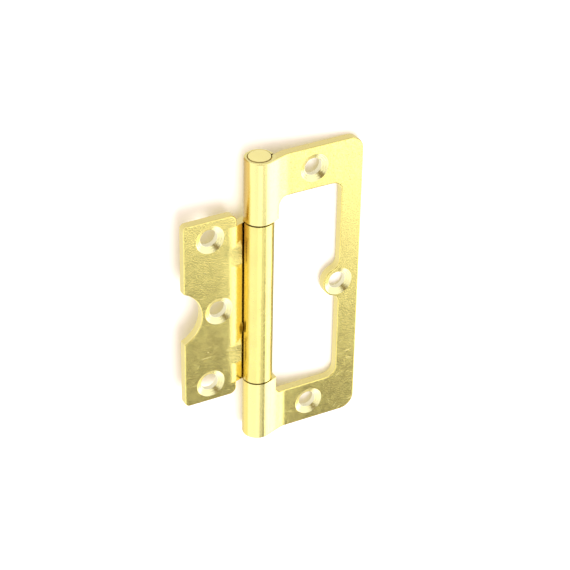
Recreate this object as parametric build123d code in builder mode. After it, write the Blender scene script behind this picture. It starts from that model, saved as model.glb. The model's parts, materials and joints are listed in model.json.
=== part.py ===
from build123d import *
import math
import os

os.makedirs("parts", exist_ok=True)

# Hurl hinge, opened flat: a small door leaf that nests in the window of a larger frame leaf, on a fixed pin.
# Sizes are in millimetres and degrees. A reach is measured from the pin's axis, across the leaf.

# Sheet and barrel, alike on both leaves
length = 75.0
sheet = 2.0
barrel_diameter = 7.0
leaf_offset = 0.6
edge_radius = 0.3

# Frame leaf, with bands of metal left round its window
frame_reach = 25.3
frame_ramp_angle = 20.0
frame_bend_radius = 6.0
frame_seam_gap = 0.2
frame_corner_radius = 3.5
end_band = 10.7
side_band = 5.2
window_corner_radius = 2.5
knuckle_strip = 0.35
knuckle_root_radius = 2.0
knuckle_corner_radius = 0.3
boss_radius = 3.9
boss_blend_radius = 2.0
frame_end_hole_edge = 12.35
frame_middle_hole_edge = 5.3

# Door leaf, clear of the window it folds into
door_ramp_angle = 17.0
door_bend_radius = 7.5
door_seam_gap = 0.35
window_end_clearance = 2.4
window_side_clearance = 1.4
door_shoulder = 3.05
door_relief = 2.1
door_outer_corner_radius = 1.2
door_inner_corner_radius = 1.8
notch_radius = 7.5
notch_clearance = 1.8
door_end_hole_edge = 6.5
door_end_hole_inset = 4.8
door_middle_hole_edge = 4.3
knuckle_gap = 0.4

# Tabs beside the barrel, which leave the bend early and stand proud of the web
tab_gap = 0.8
tab_height = 4.6
tab_inset = 7.95
tab_angle = 2.5
tab_slope = 18.0

# Nick in the web, below the middle screw
nick_gap = 0.6
nick_drop = 6.9
nick_width = 1.1
nick_height = 3.4
nick_depth = 2.0

# Countersunk screw holes
screw_hole_diameter = 4.2
countersink_diameter = 7.0
countersink_angle = 120.0

# Pin, spread at both ends into a countersink of the barrel, with heads that stand a little proud
pin_clearance = 0.05
pin_mouth_diameter = 5.6
pin_mouth_depth = 0.45
pin_mouth_angle = 45.0
pin_ring = 0.25
pin_stand = 0.15
pin_crown = 0.3

# The rolled section
barrel_radius = barrel_diameter / 2
bore_radius = barrel_radius - sheet
curl_radius = barrel_radius - sheet / 2
leaf_front = leaf_offset + sheet / 2
leaf_back = sheet / 2 - leaf_offset


def ramp_run(angle, radius):
    # The length of the straight ramp between the curl and the bend.
    sine, cosine = math.sin(math.radians(angle)), math.cos(math.radians(angle))
    return (curl_radius * cosine - leaf_offset - radius * (1 - cosine)) / sine


def bend_reach(angle, radius):
    # How far from the pin's axis the bend meets the flat leaf.
    sine, cosine = math.sin(math.radians(angle)), math.cos(math.radians(angle))
    return (curl_radius + radius) * sine + ramp_run(angle, radius) * cosine


door_bend_reach = bend_reach(door_ramp_angle, door_bend_radius)

# Places on the frame leaf
window_height = length - 2 * end_band
window_near_reach = barrel_radius + knuckle_strip
window_far_reach = frame_reach - side_band
frame_end_hole_reach = frame_reach - frame_end_hole_edge
frame_end_hole_spacing = length - end_band
frame_middle_hole_reach = frame_reach - frame_middle_hole_edge

# Places on the door leaf
door_height = window_height - 2 * window_end_clearance
door_reach = window_far_reach - window_side_clearance
door_inner_reach = door_bend_reach - door_relief
middle_knuckle = door_height - 2 * door_shoulder
knuckle_opening = middle_knuckle + 2 * knuckle_gap
notch_reach = frame_middle_hole_reach - boss_radius - notch_clearance
door_end_hole_reach = door_reach - door_end_hole_edge
door_end_hole_spacing = door_height - 2 * door_end_hole_inset
door_middle_hole_reach = notch_reach - door_middle_hole_edge
tab_reach = barrel_radius + tab_gap
tab_spacing = middle_knuckle - 2 * tab_inset
tab_root_reach = door_bend_reach - (door_bend_radius + sheet / 2) * math.sin(math.radians(tab_angle))
tab_root_drop = (door_bend_radius + sheet / 2) * (1 - math.cos(math.radians(tab_angle)))
tab_length = (tab_root_reach - tab_reach) / math.cos(math.radians(tab_angle))
tab_depth = sheet / 2
tab_run = tab_depth / math.tan(math.radians(tab_slope))
nick_reach = barrel_radius + nick_gap

# The pin's shank and spread ends
pin_radius = bore_radius - pin_clearance
pin_seat_slope = math.tan(math.radians(pin_mouth_angle))
pin_mouth_radius = pin_mouth_diameter / 2
pin_seat_depth = (pin_mouth_radius - bore_radius) / pin_seat_slope
pin_head_radius = pin_mouth_radius - pin_ring
pin_top = length / 2 + pin_stand + pin_crown
through = 2 * barrel_diameter

# The origin is midway between the frame leaf's end screws, on the face that lies against the door frame.
pin_at = Vector(-frame_end_hole_reach, -leaf_back, 0)
frame_section = Plane(pin_at, x_dir=(1, 0, 0), z_dir=(0, 0, 1))
door_section = Plane(pin_at, x_dir=(-1, 0, 0), z_dir=(0, 0, 1))
frame_plan = Plane(pin_at, x_dir=(1, 0, 0), z_dir=(0, -1, 0))
door_plan = Plane(pin_at, x_dir=(-1, 0, 0), z_dir=(0, 1, 0))
frame_face = Plane(pin_at - Vector(0, leaf_front, 0), x_dir=(1, 0, 0), z_dir=(0, -1, 0))
door_face = Plane(pin_at - Vector(0, leaf_back, 0), x_dir=(-1, 0, 0), z_dir=(0, -1, 0))
tab_root_at = pin_at - Vector(tab_root_reach, leaf_back - tab_root_drop, 0)
tab_root = Plane(tab_root_at, x_dir=(0, 0, 1), z_dir=(-1, 0, 0)).rotated((0, 0, tab_angle))


def rolled_section(plane, reach, ramp_angle, bend_radius, seam_gap):
    # The sheet seen along the pin: curled round the bore, then down a ramp and a bend to the flat leaf.
    # The curl's end stops short of the ramp by the seam's gap.
    curl_end_angle = ramp_angle + math.degrees(math.asin((seam_gap - bore_radius) / barrel_radius))
    ramp_length = ramp_run(ramp_angle, bend_radius)
    with BuildSketch(plane) as section:
        with BuildLine():
            curl = CenterArc((0, 0), curl_radius, curl_end_angle, 270 + ramp_angle - curl_end_angle)
            ramp = PolarLine(curl @ 1, ramp_length, ramp_angle)
            bend = JernArc(ramp @ 1, ramp % 1, bend_radius, -ramp_angle)
            Line(bend @ 1, (reach, (bend @ 1).Y))
        trace(line_width=sheet)
    return section.sketch


def from_axis(point):
    return math.hypot(point.X - pin_at.X, point.Y - pin_at.Y)


def smooth_between(edge, face, other):
    # True where two faces meet along the edge without a corner.
    middle = edge.center()
    return edge in other.edges() and face.normal_at(middle).dot(other.normal_at(middle)) > 0.99


def punched_edges(leaf):
    # The outline of the frame leaf's front: of its flat, and of the faces that go on smoothly over the bend.
    # Edges inside the barrel and at the joints between knuckles stay sharp.
    front = [leaf.faces().filter_by(GeomType.PLANE).filter_by(Axis.Y).sort_by(Axis.Y)[0]]
    for face in front:
        for edge in face.edges().filter_by(Axis.Z):
            others = [other for other in leaf.faces() if other not in front]
            front += [other for other in others if smooth_between(edge, face, other)]
    edges = [edge for face in front for edge in face.edges()]
    outline = ShapeList(edge for edge in edges if edges.count(edge) == 1)
    outside = outline.filter_by(lambda edge: from_axis(edge.center()) > 0.99 * barrel_radius)
    return outside.filter_by(lambda edge: abs(abs(edge.center().Z) - knuckle_opening / 2) > 1e-3)


def beside_strip(edge):
    # True along the gap in the door leaf that the rolled strip fills.
    middle = edge.center()
    return pin_at.X - middle.X < door_bend_reach + 1e-3 and abs(middle.Z) < middle_knuckle / 2 + 1e-3


def screw_holes(face, end_reach, end_spacing, middle_reach):
    # Two end holes and one middle hole, countersunk from the face.
    with Locations(face):
        with Locations((end_reach, end_spacing / 2), (end_reach, -end_spacing / 2), (middle_reach, 0)):
            CounterSinkHole(screw_hole_diameter / 2, countersink_diameter / 2, through, countersink_angle)


with BuildPart() as frame_leaf:
    frame_roll = rolled_section(
        frame_section, frame_reach, frame_ramp_angle, frame_bend_radius, frame_seam_gap
    )
    extrude(frame_roll, amount=length / 2, both=True)
    frame_corners = frame_leaf.edges().filter_by(Axis.Y).group_by(Axis.X)[-1]
    fillet(frame_corners, frame_corner_radius)
    # The window as it is punched, with the boss of the middle screw and the gap for the middle knuckle
    with BuildSketch(frame_plan) as window:
        with Locations(((window_near_reach + window_far_reach) / 2, 0)):
            Rectangle(window_far_reach - window_near_reach, window_height)
        fillet(window.vertices().group_by(Axis.X)[-1], window_corner_radius)
        fillet(window.vertices().group_by(Axis.X)[0], knuckle_root_radius)
        with Locations((frame_middle_hole_reach, 0)):
            Circle(boss_radius, mode=Mode.SUBTRACT)
        flanks = window.vertices().filter_by_position(Axis.Y, -boss_radius, boss_radius)
        fillet(flanks, boss_blend_radius)
        with Locations(((window_near_reach - barrel_diameter) / 2, 0)):
            Rectangle(window_near_reach + barrel_diameter, knuckle_opening)
        ends = window.vertices().filter_by_position(Axis.Y, -knuckle_opening / 2, knuckle_opening / 2)
        fillet(ends.filter_by_position(Axis.X, window_near_reach, window_near_reach), knuckle_corner_radius)
    extrude(amount=through, both=True, mode=Mode.SUBTRACT)
    fillet(punched_edges(frame_leaf), edge_radius)
    screw_holes(frame_face, frame_end_hole_reach, frame_end_hole_spacing, frame_middle_hole_reach)
    # Countersinks that the pin's ends are spread into
    for end in (1, -1):
        with BuildSketch(frame_section.offset(end * length / 2)):
            Circle(pin_mouth_radius)
        extrude(amount=-end * pin_mouth_depth, mode=Mode.SUBTRACT)
        with BuildSketch(frame_section.offset(end * (length / 2 - pin_mouth_depth))):
            Circle(pin_mouth_radius)
        extrude(amount=-end * pin_seat_depth, taper=pin_mouth_angle, mode=Mode.SUBTRACT)

frame_leaf.part.label = "frame_leaf"
export_step(frame_leaf.part, "parts/frame_leaf.step")

with BuildPart() as door_leaf:
    # The flat leaf with its notch, and an ear that stays flat beside each end of the rolled strip
    with BuildSketch(door_face) as door_blank:
        with Locations(((door_inner_reach + door_reach) / 2, 0)):
            Rectangle(door_reach - door_inner_reach, door_height)
        fillet(door_blank.vertices().group_by(Axis.X)[-1], door_outer_corner_radius)
        fillet(door_blank.vertices().group_by(Axis.X)[0], door_inner_corner_radius)
        with Locations((notch_reach + notch_radius, 0)):
            Circle(notch_radius, mode=Mode.SUBTRACT)
        with Locations((door_inner_reach, 0)):
            Rectangle(2 * door_relief, middle_knuckle, mode=Mode.SUBTRACT)
    extrude(amount=-sheet)
    door_front = door_leaf.faces().sort_by(Axis.Y)[0]
    fillet(door_front.edges().filter_by(beside_strip, reverse=True), edge_radius)
    # The strip that is rolled into the middle knuckle, which runs on flat into the leaf
    door_roll = rolled_section(
        door_section, door_bend_reach + sheet, door_ramp_angle, door_bend_radius, door_seam_gap
    )
    extrude(door_roll, amount=middle_knuckle / 2, both=True)
    screw_holes(door_face, door_end_hole_reach, door_end_hole_spacing, door_middle_hole_reach)
    # The tabs: pressed up out of the web, straight on from the early part of the bend, with sloping ends
    with BuildSketch(tab_root):
        with Locations((tab_spacing / 2, 0), (-tab_spacing / 2, 0)):
            Polygon(
                (tab_height / 2, 0),
                (tab_height / 2 + tab_run, tab_depth),
                (-tab_height / 2 - tab_run, tab_depth),
                (-tab_height / 2, 0),
                align=None,
            )
    extrude(amount=-tab_length)
    with BuildSketch(door_plan):
        with Locations((nick_reach, -nick_drop)):
            Ellipse(nick_width / 2, nick_height / 2)
    extrude(amount=nick_depth, mode=Mode.SUBTRACT)

door_leaf.part.label = "door_leaf"
export_step(door_leaf.part, "parts/door_leaf.step")

with BuildPart() as hinge_pin:
    with BuildSketch(frame_plan):
        with BuildLine():
            seat = length / 2 - pin_mouth_depth - (pin_mouth_radius - pin_clearance) / pin_seat_slope
            rim = (pin_head_radius, length / 2 + pin_stand)
            shoulder = (pin_head_radius, seat + pin_head_radius / pin_seat_slope)
            neck = (pin_radius, seat + pin_radius / pin_seat_slope)
            TangentArc((0, pin_top), rim, tangent=(1, 0))
            Polyline(rim, shoulder, neck, (pin_radius, 0), (0, 0), (0, pin_top))
        make_face()
        mirror(about=Plane.XZ)
    revolve(axis=Axis(pin_at, (0, 0, 1)))

hinge_pin.part.label = "hinge_pin"
export_step(hinge_pin.part, "parts/hinge_pin.step")
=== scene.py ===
import json
import math

import bpy
from mathutils import Matrix, Vector


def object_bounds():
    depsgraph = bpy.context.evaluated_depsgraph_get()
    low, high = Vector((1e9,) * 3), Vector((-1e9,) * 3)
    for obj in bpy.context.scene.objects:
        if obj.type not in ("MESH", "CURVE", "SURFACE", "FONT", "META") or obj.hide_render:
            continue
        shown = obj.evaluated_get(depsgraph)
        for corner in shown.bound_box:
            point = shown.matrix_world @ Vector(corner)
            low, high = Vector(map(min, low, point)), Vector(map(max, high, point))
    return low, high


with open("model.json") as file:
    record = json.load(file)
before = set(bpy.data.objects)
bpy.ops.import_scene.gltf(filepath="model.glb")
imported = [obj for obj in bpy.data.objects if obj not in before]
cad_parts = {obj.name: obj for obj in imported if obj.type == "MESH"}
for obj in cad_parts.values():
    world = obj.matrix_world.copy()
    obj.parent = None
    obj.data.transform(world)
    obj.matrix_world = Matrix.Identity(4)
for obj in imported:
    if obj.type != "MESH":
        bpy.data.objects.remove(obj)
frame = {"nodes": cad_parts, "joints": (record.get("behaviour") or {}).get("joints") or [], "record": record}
cadLow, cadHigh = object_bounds()
mounts = {mount["name"]: mount for mount in frame["record"]["mounts"]}
pinAt = Vector(frame["joints"][0]["pos_m"])  # the pin's middle, on its axis
mmPerMetre = 1000
print("frame loaded:", ", ".join(sorted(frame["nodes"])))


photoView = {
    "azimuth": -28.13,  # degrees round the pin; 0 looks along +Y
    "elevation": 33.72,  # degrees above the horizon
    "roll": 1.12,  # degrees
    "distance": 0.45659,  # metres from the pin's middle
    "focalLength": 2003.31,  # pixels
    "pictureSide": 570,  # pixels
    "pinMiddle": (258.0, 299.22),  # where the pin's middle lies, in pixels
    "sensorWidth": 36.0,  # mm
    "clip": (0.01, 20),  # metres
}


def addCamera(view):
    azimuth, elevation, roll = (math.radians(view[key]) for key in ("azimuth", "elevation", "roll"))
    flat = math.cos(elevation)
    back = Vector((math.sin(azimuth) * flat, -math.cos(azimuth) * flat, math.sin(elevation)))
    level = Vector((math.cos(azimuth), math.sin(azimuth), 0))
    rise = back.cross(level)
    right = math.cos(roll) * level + math.sin(roll) * rise
    up = math.cos(roll) * rise - math.sin(roll) * level
    metresPerPixel = view["distance"] / view["focalLength"]
    across, down = (metresPerPixel * (pixel - view["pictureSide"] / 2) for pixel in view["pinMiddle"])
    place = pinAt + view["distance"] * back - across * right + down * up
    data = bpy.data.cameras.new("photoCamera")
    data.sensor_width = view["sensorWidth"]
    data.lens = view["focalLength"] / view["pictureSide"] * view["sensorWidth"]
    data.clip_start, data.clip_end = view["clip"]
    camera = bpy.data.objects.new("photoCamera", data)
    turn = Matrix((right, up, back)).transposed().to_4x4()
    camera.matrix_world = Matrix.Translation(place) @ turn
    bpy.context.scene.collection.objects.link(camera)
    bpy.context.scene.camera = camera


addCamera(photoView)
print("camera set")


def emptyTree(owner):
    owner.use_nodes = True
    owner.node_tree.nodes.clear()
    return owner.node_tree


def addNode(tree, kind, settings=None, **inputs):  # an input is a value, or a socket to link; i2 is the third
    made = tree.nodes.new("ShaderNode" + kind)
    for key, value in (settings or {}).items():
        setattr(made, key, value)
    for key, value in inputs.items():
        numbered = key[0] == "i" and key[1:].isdigit()
        socket = made.inputs[int(key[1:]) if numbered else key]
        if isinstance(value, bpy.types.NodeSocket):
            tree.links.new(value, socket)
        else:
            socket.default_value = value
    return made


def inOrder(values):
    return {f"i{number}": value for number, value in enumerate(values)}


def maths(tree, operation, *values):
    return addNode(tree, "Math", {"operation": operation}, **inOrder(values)).outputs[0]


def vectors(tree, operation, *values):  # a vector first, and under Value a length, distance or dot product
    return addNode(tree, "VectorMath", {"operation": operation}, **inOrder(values)).outputs


def both(tree, first, second):  # where both masks hold
    return maths(tree, "MULTIPLY", first, second)


def without(tree, mask):
    return maths(tree, "SUBTRACT", 1, mask)


def kept(tree, mask, share):  # 1 off the mask, and a share of that on it
    return without(tree, maths(tree, "MULTIPLY", mask, 1 - share))


def ramp(tree, value, low, high, outLow=0.0, outHigh=1.0):  # smooth step from low to high
    made = addNode(tree, "MapRange", {"interpolation_type": "SMOOTHSTEP"}, Value=value)
    for key, number in (("From Min", low), ("From Max", high), ("To Min", outLow), ("To Max", outHigh)):
        made.inputs[key].default_value = number
    return made.outputs[0]


def inside(tree, value, edge, band):  # 1 within the edge, fading to 0 over a band measured from it
    return ramp(tree, value, edge + band[0], edge + band[1], 1, 0)


def blendValues(tree, share, first, second):
    return addNode(tree, "Mix", i0=share, i2=first, i3=second).outputs[0]


def blendColours(tree, share, first, second):
    return addNode(tree, "Mix", {"data_type": "RGBA"}, i0=share, i6=first, i7=second).outputs[2]


def noiseAt(tree, place, scale, detail, roughness):
    made = addNode(tree, "TexNoise", Vector=place, Scale=scale, Detail=detail, Roughness=roughness)
    return made.outputs["Fac"]


noiseMiddle = 0.5  # the level that a noise varies about


def unevenRoughness(tree, noise, share, rough):  # rougher where the noise is high, smoother where it is low
    return maths(tree, "MULTIPLY_ADD", maths(tree, "SUBTRACT", noise, noiseMiddle), share, rough)


def metal(name):  # the material, its empty tree and its shader
    material = bpy.data.materials.new(name)
    tree = emptyTree(material)
    shader = addNode(tree, "BsdfPrincipled", Metallic=1.0)
    addNode(tree, "OutputMaterial", Surface=shader.outputs[0])
    return material, tree, shader


def placeInMm(tree, middle):
    own = addNode(tree, "TexCoord").outputs["Object"]
    scale = (mmPerMetre, mmPerMetre, mmPerMetre)
    return addNode(tree, "Mapping", Vector=own, Location=tuple(-mmPerMetre * middle), Scale=scale).outputs[0]


sheetFinish = {
    "colour": (0.95, 0.83, 0.29, 1),
    "cloudColour": (0.90, 0.77, 0.27, 1),  # duller drifts in the plating
    "speckColour": (0.80, 0.68, 0.22, 1),  # fine mottle
    "knuckleColour": (0.96, 0.86, 0.36, 1),  # paler plating on the end knuckles
    "valleyColour": (0.90, 0.70, 0.19, 1),  # painted shade and warm reflection of the barrel, deeper gold between the barrel and the door leaf's bend
    "tarnishColour": (0.70, 0.47, 0.12, 1),  # painted shade, deeper still, at the upper end of that valley
    "edgeColour": (0.90, 0.77, 0.31, 1),  # sheared sides, a painted shade for the shadowed floor they would mirror
    "coneColour": (0.97, 0.90, 0.47, 1),  # countersinks, paler as a painted sheen
    "boreColour": (0.92, 0.86, 0.60, 1),  # screw holes, paler as a painted sheen
    "seamColour": (0.50, 0.27, 0.08, 1),  # painted shade inside the rolled knuckles

    "flatRoughness": 0.19,
    "barrelRoughness": 0.23,
    "coneRoughness": 0.20,
    "scuffRoughness": 0.42,
    "grainRoughness": 0.35,  # what grain, mottle and sheared sides add
    "mottleRoughness": 0.2,
    "edgeRoughness": 0.14,

    "grain": (3.0, 5, 0.62),  # how many per mm, detail and roughness
    "mottle": (0.8, 4, 0.6),
    "cloud": (0.16, 3, 0.5),
    "drawn": (1.0, 3, 0.6),  # the same, times the stretch
    "drawnStretch": (7, 7, 0.3),  # draw marks are long and run along the pin
    "drawnLean": 4,  # degrees
    "cloudBand": (0.38, 0.66),  # levels where it starts to show and is full
    "speckBand": (0.42, 0.60),
    "streaksPerTurn": 46,  # round the barrel
    "streakDetail": 2,
    "ringsPerMm": 2.0,  # turned rings in the countersinks
    "scuffCell": (9, 20, 0.5),  # mm along, into and across each fine scratch
    "scuffTurns": (8, -52, 71),  # degrees from level
    "scuffBand": (0.04, 0.12),  # shares of a cell where a scratch is full and where it is gone
    "scuffShare": 0.4,  # of a single scratch's strength

    "grainHeight": 0.000021,  # metres, as the next six
    "ringHeight": 0.000005,
    "drawnHeight": 0.000003,
    "streakHeight": 0.000040,
    "scuffHeight": 0.000010,
    "doorEaseHeight": 0.00008,
    "frameEaseHeight": 0.00016,
    "barrelGrain": 0.25,  # what is left of the grain there
    "polishedGrain": 0.35,

    "endFacing": (0.4, 0.7),  # how squarely a surface faces along the pin
    "sideFacing": (0.2, 0.45),  # and out of the sheet
    "flatFacing": (0.9, 0.98),
    "coneFacing": (-0.97, -0.93),
    "coneSteep": (-0.7, -0.5),

    "thickness": 2.0,  # of the sheet, in mm as all that follows
    "countersinkRadius": 3.5,
    "barrelEdge": (-0.05, 0.25),  # bands past an edge, where one surface gives way to the next
    "seamEdge": (-0.2, -0.04),
    "valleyEdge": (0.1, 2.4),
    "coneEdge": (0, 0.1),
    "boreEdge": (0.02, 0.1),
    "doorSide": (-3.3, -3.0),  # across, from the pin
    "frameSide": (-4.5, -4.0),
    "paleReach": (3.6, 5.0),  # out from the pin's axis
    "endKnuckles": (21.35, 21.55),  # up and down from the pin's middle
    # where the painted shade at the valley's upper end starts and is full, up from the pin's middle
    "tarnishUp": (10, 17),
    "polishedUp": (-8, 10),  # the frame leaf's far bar gets smoother upwards
    "polishedOut": (8, 12),
    "doorEase": (-10.0, -5.5),  # where the door leaf eases into its bend
    "doorEaseReach": (12, 18),  # up and down, where that fades out
    "doorEaseEnd": (-5.0, -3.8),  # what lies beyond stays level
    "frameEase": (5.0, 12.0),  # where the frame leaf eases into its bend
}

# leaf, place across and up in mm from the pin's middle, half length, half width and turn in degrees
scratches = [
    ("door_leaf", (-13.27, -12.1), 1.9, 0.13, -1),
    ("door_leaf", (-6.65, -12.0), 2.0, 0.12, 14),  # two creases beside the bend
    ("door_leaf", (-6.65, -10.6), 1.7, 0.12, 13),
    ("door_leaf", (-12.9, -10.6), 0.3, 0.2, 0),
    ("frame_leaf", (24.4, 5.4), 1.0, 0.09, 20),
    ("frame_leaf", (23.2, -20.5), 1.3, 0.09, -12),
    ("frame_leaf", (23.4, -22.6), 1.1, 0.09, 8),
]
cornerFan = {  # a spray of scratches in the frame leaf's lower corner
    "middle": (22.6, -35.6),  # mm, as above
    "reach": 1.9,
    "halfLength": 1.0,
    "halfWidth": 0.1,
    "turns": (-20, 15, 45, 75, 105, 140),  # degrees
}
scratchDepth = 0.3  # mm into the sheet
scratchFade = (0.3, 1)  # shares of its size where it is full and where it is gone


def screwHoles():  # middles of the screw holes, in mm from the pin
    places = []
    for mount in mounts.values():
        if mount["kind"] != "flat_face":
            x = mmPerMetre * (mount["pos_m"][0] - pinAt.x)
            reach = mount["dims"].get("spacing_y_mm", 0) / 2
            places += [(x, 0, z) for z in sorted({-reach, reach})]
    return places


def nearestHole(tree, inMm):  # distance from the nearest screw hole's axis
    level = vectors(tree, "MULTIPLY", inMm, (1, 0, 1))[0]
    nearest, *others = [vectors(tree, "DISTANCE", level, place)["Value"] for place in screwHoles()]
    for away in others:
        nearest = maths(tree, "MINIMUM", nearest, away)
    return nearest


def frontFace(leaf, look):  # in mm from the pin
    return mmPerMetre * (mounts[leaf + "_back"]["pos_m"][1] - pinAt.y) - look["thickness"]


def fanScratches(fan):
    made = []
    for turn in fan["turns"]:
        x = fan["middle"][0] + fan["reach"] * math.cos(math.radians(turn))
        z = fan["middle"][1] - fan["reach"] * math.sin(math.radians(turn))
        made.append(("frame_leaf", (x, z), fan["halfLength"], fan["halfWidth"], turn))
    return made


def scratchAt(tree, inMm, look, leaf, place, halfLength, halfWidth, turn):  # 1 on the scratch, 0 off it
    middle = (place[0], frontFace(leaf, look), place[1])
    size = (halfLength, scratchDepth, halfWidth)
    local = addNode(tree, "Mapping", {"vector_type": "TEXTURE"}, Vector=inMm, Location=middle,
                    Rotation=(0, math.radians(turn), 0), Scale=size).outputs[0]
    return ramp(tree, vectors(tree, "LENGTH", local)["Value"], *scratchFade, 1, 0)


def scuffs(tree, inMm, look):  # fine scratches in a few directions, and the single ones
    marks = []
    for turn in look["scuffTurns"]:
        cells = addNode(tree, "Mapping", {"vector_type": "TEXTURE"}, Vector=inMm,
                        Rotation=(0, math.radians(turn), 0), Scale=look["scuffCell"]).outputs[0]
        away = addNode(tree, "TexVoronoi", Vector=cells, Scale=1.0).outputs["Distance"]
        marks.append(ramp(tree, away, *look["scuffBand"], look["scuffShare"], 0))
    for scratch in scratches + fanScratches(cornerFan):
        marks.append(scratchAt(tree, inMm, look, *scratch))
    strongest = marks[0]
    for mark in marks[1:]:
        strongest = maths(tree, "MAXIMUM", strongest, mark)
    return strongest


def ownNormal(tree):  # turns with the leaf
    facing = addNode(tree, "NewGeometry").outputs["True Normal"]
    toLeaf = {"vector_type": "NORMAL", "convert_from": "WORLD", "convert_to": "OBJECT"}
    turned = addNode(tree, "VectorTransform", toLeaf, Vector=facing).outputs[0]
    return addNode(tree, "SeparateXYZ", Vector=turned).outputs


def sheetPlaces(tree, inMm, look):  # distances in mm, and a mask from 0 to 1 for each surface
    place = addNode(tree, "SeparateXYZ", Vector=inMm).outputs
    x, z = place["X"], place["Z"]
    normal = ownNormal(tree)
    facing = maths(tree, "ABSOLUTE", normal["Y"])
    fromMiddle = maths(tree, "ABSOLUTE", z)
    fromPin = vectors(tree, "LENGTH", vectors(tree, "MULTIPLY", inMm, (1, 1, 0))[0])["Value"]
    fromHole = nearestHole(tree, inMm)
    barrelRadius = mmPerMetre * (cadHigh.y - pinAt.y)
    boreRadius = mounts["frame_leaf_middle_screw"]["dims"]["r_mm"]

    barrel = inside(tree, fromPin, barrelRadius, look["barrelEdge"])
    onEnd = ramp(tree, maths(tree, "ABSOLUTE", normal["Z"]), *look["endFacing"])
    # inside the curl, where painted shade goes
    seam = both(tree, inside(tree, fromPin, barrelRadius, look["seamEdge"]), without(tree, onEnd))
    onDoorSide = ramp(tree, x, *look["doorSide"], 1, 0)
    # where painted shade and warm reflection of the barrel go, beside the door leaf
    valley = both(tree, inside(tree, fromPin, barrelRadius, look["valleyEdge"]), onDoorSide)
    endKnuckle = both(tree, ramp(tree, fromMiddle, *look["endKnuckles"]), ramp(tree, x, *look["frameSide"]))
    sloping = ramp(tree, normal["Y"], *look["coneFacing"])
    tilted = both(tree, sloping, ramp(tree, normal["Y"], *look["coneSteep"], 1, 0))
    return {
        "x": x,
        "z": z,
        "fromMiddle": fromMiddle,
        "fromHole": fromHole,
        "barrel": barrel,
        "seam": seam,
        "flat": ramp(tree, facing, *look["flatFacing"]),
        "sheared": both(tree, ramp(tree, facing, *look["sideFacing"], 1, 0), without(tree, barrel)),
        "valley": valley,
        # painted shade at the valley's upper end
        "tarnish": both(tree, valley, ramp(tree, z, *look["tarnishUp"])),
        "pale": both(tree, endKnuckle, ramp(tree, fromPin, *look["paleReach"], 1, 0)),
        "bore": inside(tree, fromHole, boreRadius, look["boreEdge"]),
        "cone": both(tree, tilted, inside(tree, fromHole, look["countersinkRadius"], look["coneEdge"])),
    }


def sheetTextures(tree, inMm, at, look):
    lean = (0, math.radians(look["drawnLean"]), 0)
    drawnAlong = addNode(tree, "Mapping", Vector=inMm, Rotation=lean, Scale=look["drawnStretch"]).outputs[0]
    angle = addNode(tree, "TexGradient", {"gradient_type": "RADIAL"}, Vector=inMm).outputs["Fac"]
    turned = maths(tree, "MULTIPLY", angle, look["streaksPerTurn"])
    streak = addNode(tree, "TexNoise", {"noise_dimensions": "1D"}, W=turned, Scale=1.0,
                     Detail=look["streakDetail"]).outputs["Fac"]
    ringPhase = maths(tree, "MULTIPLY", at["fromHole"], 2 * math.pi * look["ringsPerMm"])
    return {
        "grain": noiseAt(tree, inMm, *look["grain"]),
        "mottle": noiseAt(tree, inMm, *look["mottle"]),
        "cloud": ramp(tree, noiseAt(tree, inMm, *look["cloud"]), *look["cloudBand"]),
        "drawn": noiseAt(tree, drawnAlong, *look["drawn"]),
        "streak": streak,
        "rings": maths(tree, "SINE", ringPhase),
        "scuffs": both(tree, scuffs(tree, inMm, look), at["flat"]),
    }


def sheetColour(tree, at, texture, look):
    specks = both(tree, ramp(tree, texture["grain"], *look["speckBand"]), without(tree, at["barrel"]))
    tints = (
        (texture["cloud"], "cloudColour"),
        (specks, "speckColour"),
        (at["pale"], "knuckleColour"),
        # painted shade and warm reflection of the barrel in the valley
        (at["valley"], "valleyColour"),
        # painted shade at the valley's upper end
        (at["tarnish"], "tarnishColour"),
        # painted shade on the sheared sides
        (at["sheared"], "edgeColour"),
        # painted sheen on the countersinks
        (at["cone"], "coneColour"),
        # painted sheen on the screw hole walls
        (at["bore"], "boreColour"),
        # painted shade inside the rolled knuckles
        (at["seam"], "seamColour"),
    )
    colour = look["colour"]
    for share, tint in tints:
        colour = blendColours(tree, share, colour, look[tint])
    return colour


def sheetRoughness(tree, at, texture, look):
    rough = blendValues(tree, at["barrel"], look["flatRoughness"], look["barrelRoughness"])
    rough = blendValues(tree, at["cone"], rough, look["coneRoughness"])
    rough = unevenRoughness(tree, texture["grain"], look["grainRoughness"], rough)
    rough = unevenRoughness(tree, texture["mottle"], look["mottleRoughness"], rough)
    cut = maths(tree, "MAXIMUM", at["sheared"], at["bore"])
    rough = maths(tree, "MULTIPLY_ADD", cut, look["edgeRoughness"], rough)
    return blendValues(tree, texture["scuffs"], rough, look["scuffRoughness"])


def sheetRelief(tree, at, texture, look):
    polished = both(tree, ramp(tree, at["z"], *look["polishedUp"]), ramp(tree, at["x"], *look["polishedOut"]))
    offBarrel = kept(tree, at["barrel"], look["barrelGrain"])
    grained = both(tree, offBarrel, kept(tree, polished, look["polishedGrain"]))
    nearMiddle = ramp(tree, at["fromMiddle"], *look["doorEaseReach"], 1, 0)
    eased = maths(tree, "MAXIMUM", nearMiddle, ramp(tree, at["x"], *look["doorEaseEnd"]))
    layers = (
        (both(tree, texture["grain"], grained), "grainHeight"),
        (both(tree, texture["rings"], at["cone"]), "ringHeight"),
        (texture["drawn"], "drawnHeight"),
        (both(tree, texture["streak"], at["barrel"]), "streakHeight"),
        (texture["scuffs"], "scuffHeight"),
        (both(tree, ramp(tree, at["x"], *look["doorEase"], 0, -1), eased), "doorEaseHeight"),
        (ramp(tree, at["x"], *look["frameEase"], 0, -1), "frameEaseHeight"),
    )
    bump = None
    for height, size in layers:
        under = {"Normal": bump} if bump else {}
        bump = addNode(tree, "Bump", Height=height, Strength=1.0, Distance=look[size], **under).outputs[0]
    return bump


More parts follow.
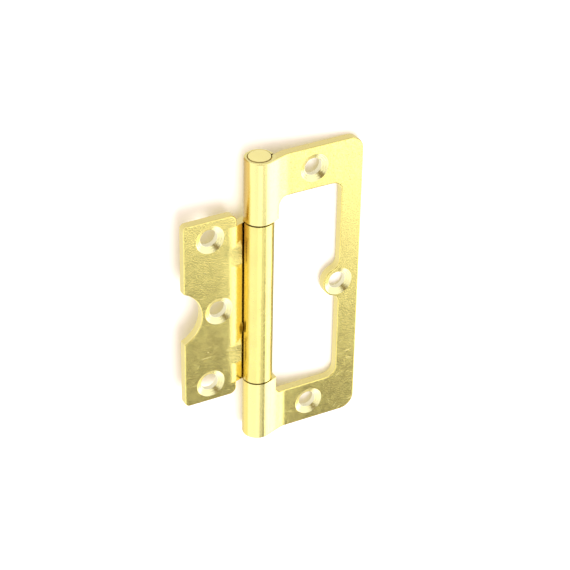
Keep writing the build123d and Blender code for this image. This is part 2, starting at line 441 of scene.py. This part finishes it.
def platedSheet(look):
    material, tree, shader = metal("platedSheet")
    inMm = placeInMm(tree, pinAt)
    at = sheetPlaces(tree, inMm, look)
    texture = sheetTextures(tree, inMm, at, look)
    tree.links.new(sheetColour(tree, at, texture, look), shader.inputs["Base Color"])
    tree.links.new(sheetRoughness(tree, at, texture, look), shader.inputs["Roughness"])
    tree.links.new(sheetRelief(tree, at, texture, look), shader.inputs["Normal"])
    return material


pinFinish = {
    "colour": (1.0, 0.92, 0.43, 1),
    "roughness": 0.55,
    "hammer": (1.1, 4, 0.55),  # marks per mm, detail and roughness
    "hammerHeight": 0.00003,  # metres
    "hammerRoughness": 0.2,  # what the marks add
}


def platedPin(look):
    material, tree, shader = metal("platedPin")
    shader.inputs["Base Color"].default_value = look["colour"]
    hammered = noiseAt(tree, placeInMm(tree, Vector()), *look["hammer"])
    rough = unevenRoughness(tree, hammered, look["hammerRoughness"], look["roughness"])
    tree.links.new(rough, shader.inputs["Roughness"])
    bump = addNode(tree, "Bump", Height=hammered, Strength=1.0, Distance=look["hammerHeight"])
    tree.links.new(bump.outputs[0], shader.inputs["Normal"])
    return material


sheetMaterial = platedSheet(sheetFinish)
for leaf in ("frame_leaf", "door_leaf"):
    frame["nodes"][leaf].data.materials[0] = sheetMaterial
frame["nodes"]["hinge_pin"].data.materials[0] = platedPin(pinFinish)
print("finishes on the leaves and the pin")


paleFloor = {
    "side": 1.6,  # metres
    "gap": 0.0001,  # metres behind the barrel and the frame leaf's far edge
    "colour": (0.90, 0.90, 0.90, 1),
}


def floorMaterial(look):  # see-through from behind
    material = bpy.data.materials.new("paleFloor")
    tree = emptyTree(material)
    front = addNode(tree, "BsdfDiffuse", Color=look["colour"]).outputs[0]
    behind = addNode(tree, "BsdfTransparent").outputs[0]
    side = addNode(tree, "NewGeometry").outputs["Backfacing"]
    surface = addNode(tree, "MixShader", i0=side, i1=front, i2=behind).outputs[0]
    addNode(tree, "OutputMaterial", Surface=surface)
    return material


def addFloor(look):  # leans so that the hinge lies on its barrel and the frame leaf's far edge
    edge = Vector((cadHigh.x, mounts["frame_leaf_back"]["pos_m"][1] + look["gap"]))
    toPin = pinAt.xy - edge
    clearance = cadHigh.y - pinAt.y + look["gap"]
    lean = math.asin(clearance / toPin.length) - math.atan2(-toPin.y, -toPin.x)
    half = look["side"] / 2
    along = half * Vector((math.cos(lean), -math.sin(lean)))
    left, right = edge - along, edge + along
    corners = [(*left, -half), (*right, -half), (*right, half), (*left, half)]
    mesh = bpy.data.meshes.new("paleFloor")
    mesh.from_pydata(corners, [], [(0, 1, 2, 3)])
    mesh.materials.append(floorMaterial(look))
    floor = bpy.data.objects.new("paleFloor", mesh)
    bpy.context.scene.collection.objects.link(floor)
    for ray in ("diffuse", "glossy", "transmission", "shadow"):
        setattr(floor, "visible_" + ray, False)


addFloor(paleFloor)
print("floor laid")


studio = {
    "tent": (1.2, 1.2, 1.2, 1),  # the white tent that the metal mirrors
    "patches": [  # direction, degrees from it where a patch is full and where it is gone, and its light
        ((0.0, -1.0, 0.0), 14, 30, (0.80, 0.78, 0.74, 1)),  # shaded sides of the tent
        ((1.0, 0.05, 0.05), 16, 32, (0.55, 0.53, 0.48, 1)),
        ((-0.70, -0.68, -0.20), 12, 22, (0.88, 0.86, 0.82, 1)),
        ((0.0, -0.2, -0.98), 14, 36, (1.9, 1.9, 1.9, 1)),  # below
        ((0.80, -0.35, -0.49), 8, 27, (2.4, 2.4, 2.4, 1)),  # soft lamps, from right to left
        ((0.46, -0.81, -0.36), 6, 19, (2.1, 2.1, 2.1, 1)),
        ((-0.17, -0.815, -0.555), 2, 13, (1.6, 1.6, 1.6, 1)),
        ((0.1786, -0.623, -0.7615), 17.8, 22.5, (0.15, 0.143, 0.131, 1)),  # opening below the lamps
        ((0.14, -0.82, -0.555), 3, 11, (1.0, 1.0, 0.97, 1)),  # the tent's folds at its edge
        ((0.235, -0.80, -0.555), 2, 6.5, (0.75, 0.75, 0.72, 1)),
        ((0.205, -0.772, -0.602), 2, 5, (0.80, 0.78, 0.70, 1)),
        ((-0.392, -0.733, 0.555), 12, 24, (0.45, 0.42, 0.37, 1)),  # where the camera looks in
        ((-0.17, -0.955, 0.241), 8, 17, (0.24, 0.17, 0.06, 1)),
        ((0.58, 0.30, -0.76), 26, 36, (0.42, 0.38, 0.28, 1)),  # dark floor beyond the lamps
        ((0.39, 0.13, 0.895), 12, 28, (0.60, 0.57, 0.50, 1)),  # overhead
        ((0.1, 0.99, 0.1), 38, 68, (0.82, 0.80, 0.76, 1)),  # behind
    ],
    "ambient": (1.34, 1.17, 1.11, 1),  # what lights the floor
    "background": (1, 1, 1, 1),
    "keyDirection": (0.02, -0.91, -0.41),  # a soft panel for the floor, which the metal doesn't mirror
    "keyDistance": 0.7,  # metres from the pin's middle
    "keySide": 0.6,  # metres
    "keyPower": 4.0,  # watts
}


def addWorld(look):
    world = bpy.data.worlds.new("studio")
    bpy.context.scene.world = world
    tree = emptyTree(world)
    towards = addNode(tree, "TexCoord").outputs["Generated"]
    mirrored = look["tent"]
    for direction, full, gone, light in look["patches"]:
        along = vectors(tree, "DOT_PRODUCT", towards, tuple(Vector(direction).normalized()))["Value"]
        share = ramp(tree, along, math.cos(math.radians(gone)), math.cos(math.radians(full)))
        mirrored = blendColours(tree, share, mirrored, light)
    ray = addNode(tree, "LightPath").outputs
    seen = blendColours(tree, ray["Is Glossy Ray"], look["ambient"], mirrored)
    plain = maths(tree, "MAXIMUM", ray["Is Camera Ray"], ray["Is Transmission Ray"])
    colour = blendColours(tree, plain, seen, look["background"])
    addNode(tree, "OutputWorld", Surface=addNode(tree, "Background", Color=colour).outputs[0])


def addKeyPanel(look):
    data = bpy.data.lights.new("keyPanel", "AREA")
    data.size, data.energy = look["keySide"], look["keyPower"]
    panel = bpy.data.objects.new("keyPanel", data)
    towards = Vector(look["keyDirection"]).normalized()
    panel.location = pinAt + look["keyDistance"] * towards
    panel.rotation_euler = towards.to_track_quat("Z", "Y").to_euler()
    panel.visible_glossy = False
    bpy.context.scene.collection.objects.link(panel)


addWorld(studio)
addKeyPanel(studio)
bpy.context.scene.view_settings.view_transform = "Standard"
print("studio lit")
